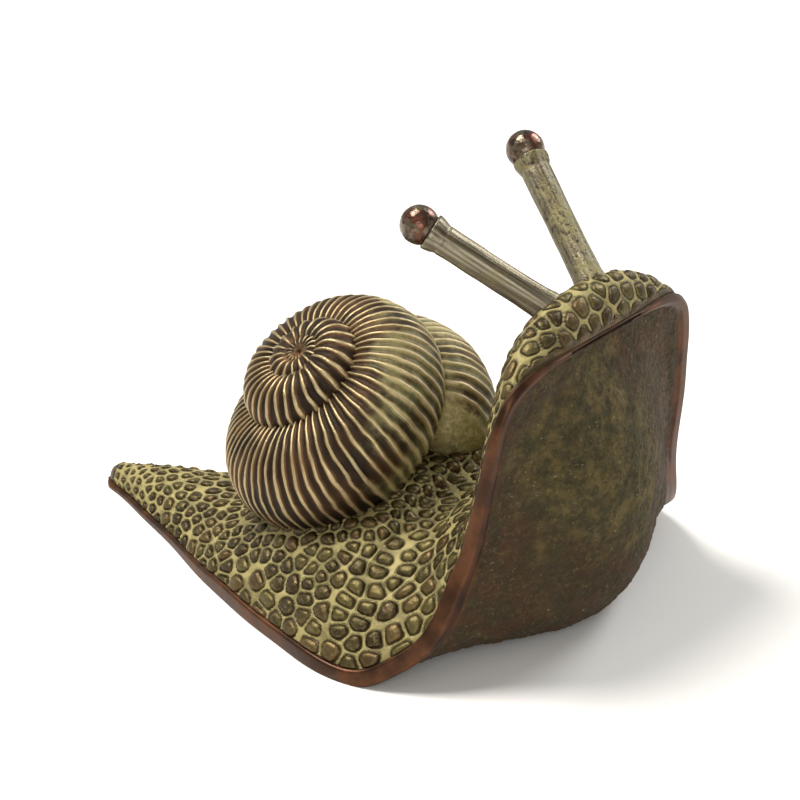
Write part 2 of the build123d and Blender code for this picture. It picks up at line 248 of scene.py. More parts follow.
class Graph:
    """A material's nodes, added and wired in one line each."""

    def __init__(self, name: str) -> None:
        """Start a material with a surface shader.

        Args:
            name: of the material.
        """
        self.material = bpy.data.materials.new(name)
        self.material.use_nodes = True
        self.tree = self.material.node_tree
        self.tree.nodes.clear()
        output = self.tree.nodes.new("ShaderNodeOutputMaterial")
        self.shader = self.tree.nodes.new("ShaderNodeBsdfPrincipled")
        self.tree.links.new(self.shader.outputs[0], output.inputs[0])
        self.place = self.tree.nodes.new("ShaderNodeTexCoord").outputs["Object"]

    def wire(self, socket: Socket, value: Value) -> None:
        """Set a socket to a number or colour, or link it.

        Args:
            socket: to fill.
            value: what it gets.
        """
        if isinstance(value, Socket):
            self.tree.links.new(value, socket)
        elif hasattr(socket.default_value, "__len__") and len(socket.default_value) == 4:
            socket.default_value = (*value, 1.0) if len(value) == 3 else value
        else:
            socket.default_value = value

    def attribute(self, name: str) -> Socket:
        """Read a number that the mesh carries.

        Args:
            name: of the mesh's layer.
        Returns:
            The number.
        """
        node = self.tree.nodes.new("ShaderNodeAttribute")
        node.attribute_name = name
        return node.outputs["Fac"]

    def mapped(self, stretch: Triple) -> Socket:
        """Stretch Object coordinates.

        Args:
            stretch: factor on each axis.
        Returns:
            The stretched coordinates.
        """
        node = self.tree.nodes.new("ShaderNodeMapping")
        self.tree.links.new(self.place, node.inputs["Vector"])
        node.inputs["Scale"].default_value = stretch
        return node.outputs[0]

    def noise(self, cells: Cells, place: Socket | None = None) -> Socket:
        """Add soft noise.

        Args:
            cells: size and make-up of the noise.
            place: coordinates, if not the object's own.
        Returns:
            Numbers about one half.
        """
        node = self.tree.nodes.new("ShaderNodeTexNoise")
        self.tree.links.new(place or self.place, node.inputs["Vector"])
        node.inputs["Scale"].default_value = cells.scale
        node.inputs["Detail"].default_value = cells.detail
        node.inputs["Roughness"].default_value = cells.roughness
        return node.outputs["Fac"]

    def span(self, value: Value, low: float, high: float, to_low: float = 0.0, to_high: float = 1.0) -> Socket:
        """Ease a range of numbers onto another.

        Args:
            value: the number.
            low: start of its range.
            high: end of its range.
            to_low: what the start becomes.
            to_high: what the end becomes.
        Returns:
            The eased number, kept within the second range.
        """
        node = self.tree.nodes.new("ShaderNodeMapRange")
        node.interpolation_type = "SMOOTHSTEP"
        for key, number in zip(("Value", "From Min", "From Max", "To Min", "To Max"),
                               (value, low, high, to_low, to_high)):
            self.wire(node.inputs[key], number)
        return node.outputs["Result"]

    def math(self, operation: str, one: Value, other: Value = 0.0, third: Value = 0.0, clamp: bool = True) -> Socket:
        """Work out one sum.

        Args:
            operation: name of the sum.
            one: first number.
            other: second number.
            third: third number, where the sum has one.
            clamp: whether the result is kept within 0 to 1.
        Returns:
            The result.
        """
        node = self.tree.nodes.new("ShaderNodeMath")
        node.operation = operation
        node.use_clamp = clamp
        for socket, value in zip(node.inputs, (one, other, third)):
            self.wire(socket, value)
        return node.outputs[0]

    def times(self, *values: Value) -> Socket:
        """Multiply numbers from 0 to 1.

        Args:
            values: the numbers.
        Returns:
            Their product.
        """
        product = values[0]
        for value in values[1:]:
            product = self.math("MULTIPLY", product, value)
        return product

    def blend(self, share: Value, one: Value, other: Value) -> Socket:
        """Mix two colours.

        Args:
            share: of the second colour.
            one: first colour.
            other: second colour.
        Returns:
            The mixed colour.
        """
        node = self.tree.nodes.new("ShaderNodeMix")
        node.data_type = "RGBA"
        for key, value in (("Factor", share), (6, one), (7, other)):
            self.wire(node.inputs[key], value)
        return node.outputs[2]

    def bump(self, height: Value, distance: float, strength: float = 1.0, after: Socket | None = None) -> Socket:
        """Add relief.

        Args:
            height: from 0 to 1.
            distance: height of the relief, in metres.
            strength: of the relief.
            after: relief that it lies on.
        Returns:
            The bent normal.
        """
        node = self.tree.nodes.new("ShaderNodeBump")
        self.wire(node.inputs["Height"], height)
        node.inputs["Distance"].default_value = distance
        node.inputs["Strength"].default_value = strength
        if after is not None:
            self.tree.links.new(after, node.inputs["Normal"])
        return node.outputs[0]

    def surface(self, colour: Value, rough: Value, metal: Value, relief: Socket | None = None,
                coat: float = 0.0, coat_rough: float = 0.3) -> Material:
        """Wire the shader.

        Args:
            colour: of the surface.
            rough: its roughness.
            metal: how metallic it is.
            relief: bent normal, if any.
            coat: weight of a clear coat.
            coat_rough: roughness of that coat.
        Returns:
            The finished material.
        """
        for key, value in (("Base Color", colour), ("Roughness", rough), ("Metallic", metal),
                           ("Coat Weight", coat), ("Coat Roughness", coat_rough)):
            self.wire(self.shader.inputs[key], value)
        if relief is not None:
            self.tree.links.new(relief, self.shader.inputs["Normal"])
        return self.material


@dataclass(frozen=True)
class PebbleFinish:
    """Dark pebbles in a wide net of pale patina, with painted shade as a dark line in the moat round each pebble."""

    dark: Triple = (0.040, 0.027, 0.008)
    olive: Triple = (0.105, 0.083, 0.026)
    brown: Triple = (0.120, 0.070, 0.026)
    worn: Triple = (0.240, 0.190, 0.085)
    patina: Triple = (0.330, 0.275, 0.105)
    dull: Triple = (0.170, 0.142, 0.048)
    # line: painted shade, the near-black colour of the moat round each pebble
    line: Triple = (0.022, 0.014, 0.005)
    grain_cells: Cells = Cells(2300.0, 5.0, 0.7)
    film_cells: Cells = Cells(420.0)
    border_cells: Cells = Cells(1500.0, 3.0, 0.6)
    patch_cells: Cells = Cells(190.0, 3.0)
    swell_cells: Cells = Cells(900.0, 3.0)
    wander: float = 0.00008
    crown_width: float = 0.00030
    pebble_relief: float = 0.00022
    grain_relief: float = 0.00010
    swell_relief: float = 0.00018

    def build(self) -> Material:
        """Wire the finish.

        Returns:
            The material.
        """
        g = Graph("pebbled_skin")
        plain = g.attribute("plain")
        grain = g.noise(self.grain_cells)
        soft = g.noise(self.film_cells)
        wander = g.math("MULTIPLY_ADD", g.noise(self.border_cells), 2 * self.wander, -self.wander, clamp=False)
        edge = g.math("ADD", g.attribute("edge"), wander, clamp=False)
        pebble = g.blend(g.span(g.noise(self.patch_cells), 0.40, 0.62), self.dark, self.olive)
        pebble = g.blend(g.times(g.span(g.attribute("chance"), 0.55, 1.0), 0.6), pebble, self.brown)
        pebble = g.blend(g.times(g.span(grain, 0.52, 0.72), 0.75), pebble, self.worn)
        net = g.blend(g.span(soft, 0.40, 0.66), self.patina, self.dull)
        net = g.blend(g.times(g.span(grain, 0.48, 0.30), 0.55), net, self.olive)
        share = g.span(edge, 0.00004, -0.00006)
        # painted shade: a thin ring in the moat at each pebble's edge goes near black
        ring = g.times(g.span(edge, -0.00008, 0.00002), g.span(edge, 0.00022, 0.00006), 0.75)
        colour = g.blend(ring, g.blend(share, pebble, net), self.line)
        smooth = g.blend(g.span(soft, 0.35, 0.65), self.dark, self.brown)
        colour = g.blend(g.times(plain, 0.9), colour, smooth)
        rough = g.math("ADD", g.span(share, 0.0, 1.0, 0.40, 0.62), g.times(plain, 0.10))
        metal = g.times(g.span(share, 0.0, 1.0, 0.70, 0.20), g.span(plain, 0.0, 1.0, 1.0, 0.5))
        crown = g.span(edge, 0.0, self.crown_width)
        land = g.times(g.span(edge, -0.00002, -0.00014), 0.7)
        relief = g.bump(g.math("MAXIMUM", crown, land), self.pebble_relief, 0.9)
        relief = g.bump(grain, self.grain_relief, 0.7, relief)
        relief = g.bump(g.noise(self.swell_cells), self.swell_relief, 0.5, relief)
        return g.surface(colour, rough, metal, relief)


@dataclass(frozen=True)
class SoleFinish:
    """Smooth red-brown rim; the rough casting of the belly where the mesh says so, lighter in its lit middle and
    painted darker further out as shade.
    """

    copper: Triple = (0.105, 0.042, 0.018)
    brown: Triple = (0.042, 0.019, 0.009)
    ochre: Triple = (0.150, 0.110, 0.034)
    olive: Triple = (0.050, 0.042, 0.012)
    # umber: dark grain of the casting, and with russet the painted shade of the belly's outer parts
    umber_and_shade: Triple = (0.052, 0.034, 0.012)
    shaded_russet: Triple = (0.075, 0.034, 0.012)
    fleck: Triple = (0.420, 0.350, 0.180)
    streak_cells: Cells = Cells(260.0)
    grain_cells: Cells = Cells(1500.0, 6.0, 0.75)
    mottle_cells: Cells = Cells(420.0, 6.0, 0.7)
    cloud_cells: Cells = Cells(150.0)
    outer_shade_cells: Cells = Cells(300.0, 4.0, 0.6)
    fleck_cells: Cells = Cells(2200.0, 4.0, 0.7)
    swell_cells: Cells = Cells(1200.0, 3.0)
    grain_relief: float = 0.00070
    swell_relief: float = 0.00006

    def build(self) -> Material:
        """Wire the finish.

        Returns:
            The material.
        """
        g = Graph("rim_and_sole")
        sole = g.attribute("sole")
        streaks = g.noise(self.streak_cells)
        rim = g.blend(g.span(streaks, 0.36, 0.66), self.brown, self.copper)
        grain = g.noise(self.grain_cells)
        cast = g.blend(g.span(g.noise(self.mottle_cells), 0.38, 0.64), self.olive, self.ochre)
        cast = g.blend(g.times(g.span(grain, 0.50, 0.38), 0.7), cast, self.umber_and_shade)
        # painted light and shade: the belly keeps its lighter ochre and olive in its lit middle and is painted darker
        # umber and russet further out
        cloud = g.span(g.noise(self.cloud_cells), 0.3, 0.7, -0.25, 0.25)
        lit_middle = g.math("ADD", g.attribute("lit_middle"), cloud, clamp=False)
        outer = g.blend(g.span(g.noise(self.outer_shade_cells), 0.42, 0.60), self.umber_and_shade, self.shaded_russet)
        cast = g.blend(g.times(g.span(lit_middle, 0.70, 0.20), g.span(grain, 0.66, 0.50)), cast, outer)
        cast = g.blend(g.times(g.span(g.noise(self.fleck_cells), 0.62, 0.72), 0.8), cast, self.fleck)
        colour = g.blend(sole, rim, cast)
        rough = g.math("ADD", g.span(sole, 0.0, 1.0, 0.36, 0.62), g.span(streaks, 0.3, 0.7, 0.0, 0.08))
        metal = g.span(sole, 0.0, 1.0, 0.80, 0.35)
        relief = g.bump(g.times(grain, sole), self.grain_relief)
        relief = g.bump(g.noise(self.swell_cells), self.swell_relief, 0.5, relief)
        return g.surface(colour, rough, metal, relief)


@dataclass(frozen=True)
class ShellFinish:
    """Pale golden rib crests, worn bare metal with a painted highlight, over grooves darkened with painted shade, under
    yellow-green patina on one side.
    """

    # deep: dark ground colour, also painted into the grooves between the ribs as shade
    deep: Triple = (0.016, 0.009, 0.004)
    warm: Triple = (0.110, 0.052, 0.019)
    # crest: pale gold of worn bare metal with a painted highlight on the rib crests; also the pale grit near the mouth
    crest: Triple = (0.420, 0.330, 0.175)
    patina: Triple = (0.260, 0.222, 0.078)
    green: Triple = (0.105, 0.125, 0.050)
    grain_cells: Cells = Cells(2400.0, 5.0, 0.7)
    spread_cells: Cells = Cells(260.0)
    ground_cells: Cells = Cells(210.0, 3.0)
    film_cells: Cells = Cells(330.0, 3.0)
    grit_cells: Cells = Cells(1300.0, 4.0, 0.7)
    swell_cells: Cells = Cells(700.0, 3.0)
    grain_relief: float = 0.00010
    swell_relief: float = 0.00018

    def build(self) -> Material:
        """Wire the finish.

        Returns:
            The material.
        """
        g = Graph("ribbed_shell")
        wave = g.attribute("wave")
        firm = g.attribute("firm")
        grain = g.noise(self.grain_cells)
        spread = g.math("ADD", g.attribute("bloom"), g.span(g.noise(self.spread_cells), 0.35, 0.75, -0.22, 0.25))
        ground = g.blend(g.span(g.noise(self.ground_cells), 0.34, 0.62), self.deep, self.warm)
        film = g.blend(g.span(g.noise(self.film_cells), 0.54, 0.70), self.patina, self.green)
        veil = g.times(g.span(spread, 0.35, 0.85), g.span(grain, 0.25, 0.55, 0.55, 1.0))
        colour = g.blend(veil, ground, film)
        # painted shade: the grooves between the ribs go towards near black
        groove = g.times(g.span(wave, 0.58, 0.26), firm, g.span(veil, 0.0, 1.0, 0.92, 0.62))
        colour = g.blend(groove, colour, self.deep)
        # painted highlight on worn bare metal: the rib crests go pale gold
        edge = g.times(g.span(wave, 0.70, 0.94), firm, g.span(grain, 0.25, 0.55, 0.6, 1.0))
        colour = g.blend(edge, colour, self.crest)
        pale = g.times(g.span(g.noise(self.grit_cells), 0.44, 0.62), g.attribute("grit"), 0.8)
        colour = g.blend(pale, colour, self.crest)
        rough = g.span(edge, 0.0, 1.0, 0.52, 0.34)
        metal = g.math("SUBTRACT", 0.75, g.times(veil, 0.45))
        relief = g.bump(grain, self.grain_relief, 0.8)
        relief = g.bump(g.noise(self.swell_cells), self.swell_relief, 0.5, relief)
        return g.surface(colour, rough, metal, relief)


class RodTone(Enum):
    """How the two eye stalks have aged."""

    SATIN = "satin"
    MOTTLED = "mottled"


@dataclass(frozen=True)
class RodFinish:
    """Drawn grey bronze with fine lines along it."""

    tone: RodTone
    grey: Triple = (0.250, 0.220, 0.160)
    shade: Triple = (0.085, 0.067, 0.038)
    patina: Triple = (0.190, 0.168, 0.066)
    pit: Triple = (0.026, 0.019, 0.009)
    wear_cells: Cells = Cells(1500.0, 5.0, 0.7)
    blotch_cells: Cells = Cells(420.0, 4.0, 0.6)
    mottled_relief: float = 0.00022
    satin_relief: float = 0.00008

    def build(self) -> Material:
        """Wire the finish.

        Returns:
            The material.
        """
        g = Graph("stalk_" + self.tone.value)
        wear = g.noise(self.wear_cells)
        blotch = g.noise(self.blotch_cells)
        colour = g.blend(g.span(g.attribute("lines"), 0.20, 0.85), self.shade, self.grey)
        if self.tone is RodTone.MOTTLED:
            spots = g.times(g.span(blotch, 0.38, 0.58), g.span(wear, 0.40, 0.58))
            pits, depth = g.span(wear, 0.46, 0.34), self.mottled_relief
        else:
            spots = g.times(g.span(blotch, 0.50, 0.80), 0.5)
            pits, depth = g.span(wear, 0.36, 0.28), self.satin_relief
        colour = g.blend(pits, g.blend(spots, colour, self.patina), self.pit)
        rough = g.span(spots, 0.0, 1.0, 0.38, 0.52)
        metal = g.span(spots, 0.0, 1.0, 0.85, 0.50)
        return g.surface(colour, rough, metal, g.bump(wear, depth, 0.9))


@dataclass(frozen=True)
class BeadFinish:
    """Dark polished brown, mottled with copper red, which the real bead shows on one side, and worn pale in spots."""

    red: Triple = (0.115, 0.038, 0.020)
    dark: Triple = (0.034, 0.021, 0.012)
    grey: Triple = (0.150, 0.118, 0.075)
    worn: Triple = (0.460, 0.390, 0.280)
    tint_cells: Cells = Cells(420.0, 3.0)
    grey_cells: Cells = Cells(700.0, 4.0, 0.7)
    worn_cells: Cells = Cells(1100.0, 4.0, 0.7)
    polish_cells: Cells = Cells(1500.0, 3.0)
    dent_cells: Cells = Cells(650.0, 3.0)
    dent_relief: float = 0.00035

    def build(self) -> Material:
        """Wire the finish.

        Returns:
            The material.
        """
        g = Graph("polished_bead")
        colour = g.blend(g.span(g.noise(self.tint_cells), 0.40, 0.60), self.dark, self.red)
        colour = g.blend(g.span(g.noise(self.grey_cells), 0.46, 0.60), colour, self.grey)
        colour = g.blend(g.span(g.noise(self.worn_cells), 0.62, 0.72), colour, self.worn)
        rough = g.span(g.noise(self.polish_cells), 0.3, 0.7, 0.18, 0.38)
        relief = g.bump(g.noise(self.dent_cells), self.dent_relief, 0.7)
        return g.surface(colour, rough, 0.8, relief, coat=0.25, coat_rough=0.15)


@dataclass(frozen=True)
class PlainMetal:
    """Turned steel or drawn bronze of the hidden fixings."""

    name: str
    light: Triple
    shade: Triple
    turned_cells: Cells = Cells(1500.0, 3.0, 0.6)
    stretch: Triple = (1.0, 1.0, 12.0)
    turned_relief: float = 0.00004

    def build(self) -> Material:
        """Wire the finish.

        Returns:
            The material.
        """
        g = Graph(self.name)
        turned = g.noise(self.turned_cells, g.mapped(self.stretch))
        colour = g.blend(turned, self.shade, self.light)
        rough = g.span(turned, 0.3, 0.7, 0.28, 0.42)
        return g.surface(colour, rough, 1.0, g.bump(turned, self.turned_relief, 0.6))


@dataclass(frozen=True)
class Foot:
    """Plan of the foot: half widths, heights and the turn of every section, from tail tip to head."""

    tail_reach: float = 64.2
    half_width: float = 29.8
    tail_bend: float = 7.4
    back_height: float = 17.6
    fold_back: float = 13.0
    fold_height: float = 21.0
    head_height: float = 38.4
    head_lean: float = 7.3
    neck_depth: float = 6.6
    belly_depth: float = 9.0
    rim_height: float = 2.2
    rim_full_height: float = 8.5
    rim_land: float = 1.6
    skin_inset: float = 0.5
    knot_gap: float = 0.25
    end_crowding: float = 0.012
    front_share: float = 0.045
    tail_shares: tuple = (
        (1.0, 0.97, 0.040, 0.145), (0.985, 0.975, 0.058, 0.165), (0.955, 0.98, 0.080, 0.185),
        (0.91, 0.99, 0.115, 0.215), (0.85, 1.0, 0.172, 0.245), (0.72, 0.985, 0.300, 0.30), (0.61, 0.87, 0.450, 0.38),
        (0.51, 0.66, 0.597, 0.55), (0.41, 0.37, 0.755, 0.79), (0.30, 0.10, 0.90, 0.96), (0.2025, 0.0, 0.985, 1.0),
    )
    fold_shares: tuple = (
        (20, 1.045, 0.975, 0.965, 0.04, 1.0), (30, 1.025, 0.925, 0.91, 0.30, 1.0), (40, 1.0, 0.855, 0.83, 0.66, 1.0),
        (60, 0.865, 0.745, 0.60, 1.0, 1.0), (77, 0.825, 0.70, 0.43, 0.95, 0.95),
    )
    neck_shares: tuple = (
        (4, 0.60, 0.66, 0.685, 0.96, 0.80, 0.9, 1.0), (8, 0.72, 0.74, 0.665, 0.95, 0.62, 0.85, 0.93),
        (14, 0.81, 0.80, 0.65, 1.02, 0.45, 0.8, 0.8), (27, 0.888, 0.865, 0.62, 1.14, 0.28, 0.8, 0.65),
        (47, 0.94, 0.915, 0.575, 1.22, 0.15, 0.8, 0.55), (66, 0.973, 0.948, 0.49, 1.12, 0.06, 0.8, 0.55),
        (78, 0.993, 0.98, 0.375, 0.85, 0.0, 0.8, 0.55), (86, 1.0, 1.0, 0.22, 0.55, 0.0, 0.8, 0.55),
    )
    dome_shares: tuple = ((1.0, 0.0), (0.94, 0.22), (0.82, 0.48), (0.61, 0.77), (0.33, 0.945), (0.0, 1.0))
    belly_shares: tuple = ((1.0, 0.0), (0.8, 0.217), (0.6, 0.5), (0.4, 0.76), (0.2, 0.937), (0.0, 1.0))

    def rows(self) -> list[tuple[float, ...]]:
        """Work out every section.

        Returns:
            Centre x, y, z, lean in degrees, half width, height, belly, its breadth and the rim of each.
        """
        rows = []
        for reach, bend, half, high in self.tail_shares:
            rows.append((-self.tail_reach * reach, -self.tail_bend * bend, 0.0, 0.0, self.half_width * half,
                         self.back_height * high, 0.0, 1.0, self.rim_at(self.back_height * high)))
        for angle, far, half, high, belly, breadth in self.fold_shares:
            radius = self.fold_height * far
            x = -self.fold_back + radius * math.sin(math.radians(angle))
            z = self.fold_height - radius * math.cos(math.radians(angle))
            rows.append((x, 0.0, z, angle, self.half_width * half, self.back_height * high,
                         self.belly_depth * belly, breadth, self.rim_at(self.back_height * high)))
        for lean, high, forward, half, deep, belly, breadth, edge in self.neck_shares:
            rows.append((self.head_lean * forward, 0.0, self.head_height * high, 90.0 - lean,
                         self.half_width * half, self.neck_depth * deep, self.belly_depth * belly, breadth,
                         edge * self.rim_at(self.neck_depth * deep)))
        return rows

    def rim_at(self, height: float) -> float:
        """Work out the thickness of the rim.

        Args:
            height: of the back there.
        Returns:
            The thickness.
        """
        return self.rim_height * min(1.0, height / self.rim_full_height)

    def table(self) -> SmoothTable:
        """Join the sections smoothly.

        Returns:
            The table, its knots the way that the sections' edges travel.
        """
        rows = self.rows()
        knots = [0.0]
        for one, other in zip(rows, rows[1:]):
            gap = math.dist(one[:3], other[:3])
            edge = math.hypot(gap, abs(one[4] - other[4]))
            knots.append(knots[-1] + 0.5 * (gap + edge) + self.knot_gap)
        return SmoothTable(knots, rows)

    @staticmethod
    def bow(outline: tuple, shares: np.ndarray) -> tuple[np.ndarray, np.ndarray]:
        """Width and height shares over a whole bow.

        Args:
            outline: half of the bow, width share and height share, from its edge to its crown.
            shares: places over the bow, -1 at one edge to 1 at the other.
        Returns:
            Width shares and height shares.
        """
        whole = [(-w, h) for w, h in outline] + [(w, h) for w, h in reversed(outline[:-1])]
        lengths = [0.0]
        for one, other in zip(whole, whole[1:]):
            lengths.append(lengths[-1] + math.dist(one, other))
        table = SmoothTable([2 * s / lengths[-1] - 1 for s in lengths], whole)
        pair = table.at(shares)
        return pair[..., 0], pair[..., 1]


@dataclass
class Sections:
    """Sections of the foot, sampled along it: one row each, plain numbers as columns."""

    centres: np.ndarray
    ups: np.ndarray
    halves: np.ndarray
    heights: np.ndarray
    bellies: np.ndarray
    breadths: np.ndarray
    rims: np.ndarray
    travel: np.ndarray

    @classmethod
    def sample(cls, foot: Foot, count: int, close: int = 0) -> "Sections":
        """Sample the foot evenly along its edge, closer together at both ends.

        Args:
            foot: whose sections are sampled.
            count: how many samples.
            close: how many of them crowd together over the head's front.
        Returns:
            The sections.
        """
        table = foot.table()
        share = np.linspace(0.0, 1.0, count)
        share = share - foot.end_crowding * np.sin(2 * math.pi * share)
        if close:
            even = np.linspace(0.0, 1.0 - foot.front_share, count - close, endpoint=False)
            crowd = 1.0 - foot.front_share * (1.0 - np.sin(np.linspace(0.0, math.pi / 2, close)))
            share = np.concatenate([even, crowd])
        rows = table.at(share * table.knots[-1])
        centres, lean = rows[:, :3], np.radians(rows[:, 3])
        ups = np.stack([-np.sin(lean), np.zeros(count), np.cos(lean)], axis=1)
        step = np.linalg.norm(np.diff(centres, axis=0), axis=1)
        travel = np.concatenate([[0.0], np.cumsum(step)])[:, None]
        halves, heights, bellies, breadths, rims = (rows[:, k:k + 1] for k in range(4, 9))
        return cls(centres, ups, halves, heights, np.maximum(bellies, 0.0), breadths, rims, travel)

    @property
    def left(self) -> np.ndarray:
        """Way that is left to the head's front edge.

        Returns:
            The distances, as a column.
        """
        return self.travel[-1] - self.travel

    def lay(self, across: np.ndarray, high: np.ndarray) -> np.ndarray:
        """Lay places on the sections.

        Args:
            across: distances across each section, rows by columns.
            high: distances up each section, rows by columns.
        Returns:
            The places, rows by columns by three.
        """
        points = self.centres[:, None, :] + self.ups[:, None, :] * high[:, :, None]
        points[:, :, 1] += across
        return points


@dataclass
class Seeds:
    """Middles of the pebbles, with the way along the body, the spacing and the pull at each."""

    places: np.ndarray
    ways: np.ndarray
    sizes: np.ndarray
    pulls: np.ndarray


@dataclass
class PebbledBack:
    """The back, neck and head: a dome over the foot, covered in pebbles."""

    foot: Foot
    columns: int = 246
    base_columns: int = 2
    count: int = 400
    base_sink: float = 0.05
    tip_length: float = 2.6
    brow_length: float = 1.5
    brow_rows: int = 36
    brow_shares: Pair = (0.90, 0.10)
    least_share: float = 0.02
    tail_crown: float = 0.45
    crown_place: float = 53.0
    crown_reach: float = 7.5
    seed: int = 7
    attempts: int = 26000
    neighbours: int = 7
    softness: float = 0.10
    tail_size: float = 0.98
    body_gain: float = 0.67
    skirt_gain: float = 0.38
    raised_size: float = 1.62
    head_gain: float = 0.28
    nape_cut: float = 0.34
    nape_pull: float = 0.50
    tail_pull: float = 0.12
    tail_net: float = 0.52
    body_net_cut: float = 0.16
    raised_net_gain: float = 0.04
    radius_shares: Pair = (0.74, 0.12)
    pebble_rise: float = 0.40
    rise_size: float = 1.5
    head_flattening: float = 0.45
    crown_share: float = 0.40
    crown_power: float = 2.2
    net_rise: float = 0.38
    level: float = 0.55
    seam_depth: float = 0.20
    unevenness: float = 0.06
    roughness: float = 0.035
    rough_scale: float = 1.1
    tail_ease: Pair = (-64.0, -40.0)
    skirt_edge: Pair = (0.40, 0.90)
    skirt_along: Pair = (-45.0, -22.0)
    pull_along: Pair = (-60.0, -50.0)
    raised_height: Pair = (8.0, 26.0)
    nape_from: Pair = (14.0, 22.0)
    nape_until: Pair = (32.0, 36.5)
    head_height: Pair = (33.0, 36.5)
    flat_height: Pair = (28.0, 36.0)
    plain_height: Pair = (30.5, 34.0)
    plain_reach: Pair = (0.45, 1.15)
    plain_tip: Pair = (0.6, 2.4)
    seam_reach: Pair = (0.12, 0.42)
    tip_ease: Pair = (0.0, 0.9)
    net_ease: Pair = (0.0, 0.16)
    plain_inset: float = 0.5
    seam_inset: float = -0.3

    def grid(self) -> tuple[Sections, np.ndarray, np.ndarray]:
        """Lay the smooth skin.

        Returns:
            The sections, the places and the dome shares of the columns.
        """
        s = Sections.sample(self.foot, self.count, self.brow_rows)
        share = np.linspace(-1.0, 1.0, self.columns)
        wide, high = self.foot.bow(self.foot.dome_shares, share)
        base = s.rims - self.base_sink
        taper = round_off(s.travel, self.tip_length)
        brow = round_off(s.left, self.brow_length)
        narrow = self.brow_shares[0] + self.brow_shares[1] * brow
        half = (s.halves - self.foot.skin_inset) * np.maximum(taper, self.least_share) * narrow
        crown = self.tail_crown * np.exp(-((s.centres[:, :1] + self.crown_place) / self.crown_reach) ** 2)
        tall = (s.heights + crown - base) * np.maximum(taper * brow, self.least_share)
        under = np.linspace(1.0, -1.0, self.base_columns + 2)[1:-1]
        across = np.concatenate([half * wide, half * under], axis=1)
        up = np.concatenate([base + tall * high, np.repeat(base, self.base_columns, axis=1)], axis=1)
        return s, s.lay(across, up), share

    def spacing(self, s: Sections, share: np.ndarray) -> tuple[np.ndarray, np.ndarray, np.ndarray]:
        """Work out how the pebbles change over the body.

        Args:
            s: sections along the body.
            share: dome shares of the columns.
        Returns:
            Spacing of the pebbles, how far they are drawn out along the body, and the net's width, each
            rows by columns.
        """
        along, height = s.centres[:, :1], s.centres[:, 2:]
        edge = np.abs(share)[None, :]
        tail = smoothstep(*self.tail_ease, along)
        skirt = self.skirt_gain * smoothstep(*self.skirt_edge, edge) * smoothstep(*self.skirt_along, along)
        raised = smoothstep(*self.raised_height, height)
        head = smoothstep(*self.head_height, height)
        nape = smoothstep(*self.nape_from, height) * (1 - smoothstep(*self.nape_until, height))
        size = self.tail_size + self.body_gain * tail + skirt
        size = size * (1 - raised) + (self.raised_size + self.head_gain * head) * raised
        size = size * (1 - self.nape_cut * nape)
        drawn = 1.0 + self.nape_pull * nape + self.tail_pull * smoothstep(*self.pull_along, along) * (1 - raised)
        net = self.tail_net - self.body_net_cut * tail + self.raised_net_gain * raised
        return size + 0 * edge, drawn + 0 * edge, net + 0 * edge

    def scatter(self, points: np.ndarray, size: np.ndarray, drawn: np.ndarray) -> Seeds:
        """Scatter the pebbles, none closer to another than its spacing.

        Args:
            points: smooth skin, rows by columns by three.
            size: spacing of the pebbles there.
            drawn: how far they are drawn out there.
        Returns:
            Their middles.
        """
        along, across = np.gradient(points, axis=0), np.gradient(points, axis=1)
        area = np.linalg.norm(np.cross(along, across), axis=2)
        along /= np.maximum(np.linalg.norm(along, axis=2, keepdims=True), TINY)
        rng = random.Random(self.seed)
        weight = np.cumsum((area / size ** 2).ravel())
        picks = [rng.random() * weight[-1] for _ in range(self.attempts)]
        tries = np.searchsorted(weight, picks)
        places, ways = (field.reshape(-1, 3)[tries] for field in (points, along))
        sizes, pulls = (field.reshape(-1)[tries] for field in (size, drawn))
        kept: list[int] = []
        for k in range(self.attempts):
            if kept:
                offset = places[kept] - places[k]
                lengthwise = offset @ ways[k]
                sideways = np.einsum("ij,ij->i", offset, offset) - lengthwise ** 2
                metric = (lengthwise / pulls[k]) ** 2 + sideways * pulls[k] ** 2
                if metric.min() < sizes[k] ** 2:
                    continue
            kept.append(k)
        LOG.info("pebbles: %d", len(kept))
        return Seeds(places[kept], ways[kept], sizes[kept], pulls[kept])

    def measure(self, points: np.ndarray, seeds: Seeds, net: np.ndarray) -> tuple[np.ndarray, np.ndarray]:
        """Measure every place against the pebbles round it.

        Args:
            points: smooth skin, rows by columns by three.
            seeds: middles of the pebbles.
            net: width of the net there.
        Returns:
            Millimetres in from the pebble's edge, and a number that differs from pebble to pebble.
        """
        tree = kdtree.KDTree(len(seeds.places))
        for n, place in enumerate(seeds.places):
            tree.insert(Vector(place), n)
        tree.balance()
        flat = points.reshape(-1, 3)
        near = np.array([[hit[1] for hit in tree.find_n(Vector(p), self.neighbours)] for p in flat])
        offset = flat[:, None, :] - seeds.places[near]
        pull = seeds.pulls[near]
        lengthwise = np.einsum("nki,nki->nk", offset, seeds.ways[near])
        sideways = np.maximum(np.einsum("nki,nki->nk", offset, offset) - lengthwise ** 2, 0.0)
        metric = np.sqrt((lengthwise / pull) ** 2 + sideways * pull ** 2) / seeds.sizes[near]
        order = np.argsort(metric, axis=1)
        metric = np.take_along_axis(metric, order, axis=1)
        gaps = metric[:, 1:4] - metric[:, :1]
        border = -self.softness * np.log(np.sum(np.exp(-gaps / self.softness), axis=1))
        first = near[np.arange(len(near)), order[:, 0]]
        own = seeds.sizes[first]
        chance = np.random.default_rng(self.seed).random(len(seeds.places))[first]
        radius = (self.radius_shares[0] + self.radius_shares[1] * chance) * own
        inset = np.minimum(border * own / 2, radius - metric[:, 0] * own) - net.reshape(-1) / 2
        return inset.reshape(net.shape), chance.reshape(net.shape)

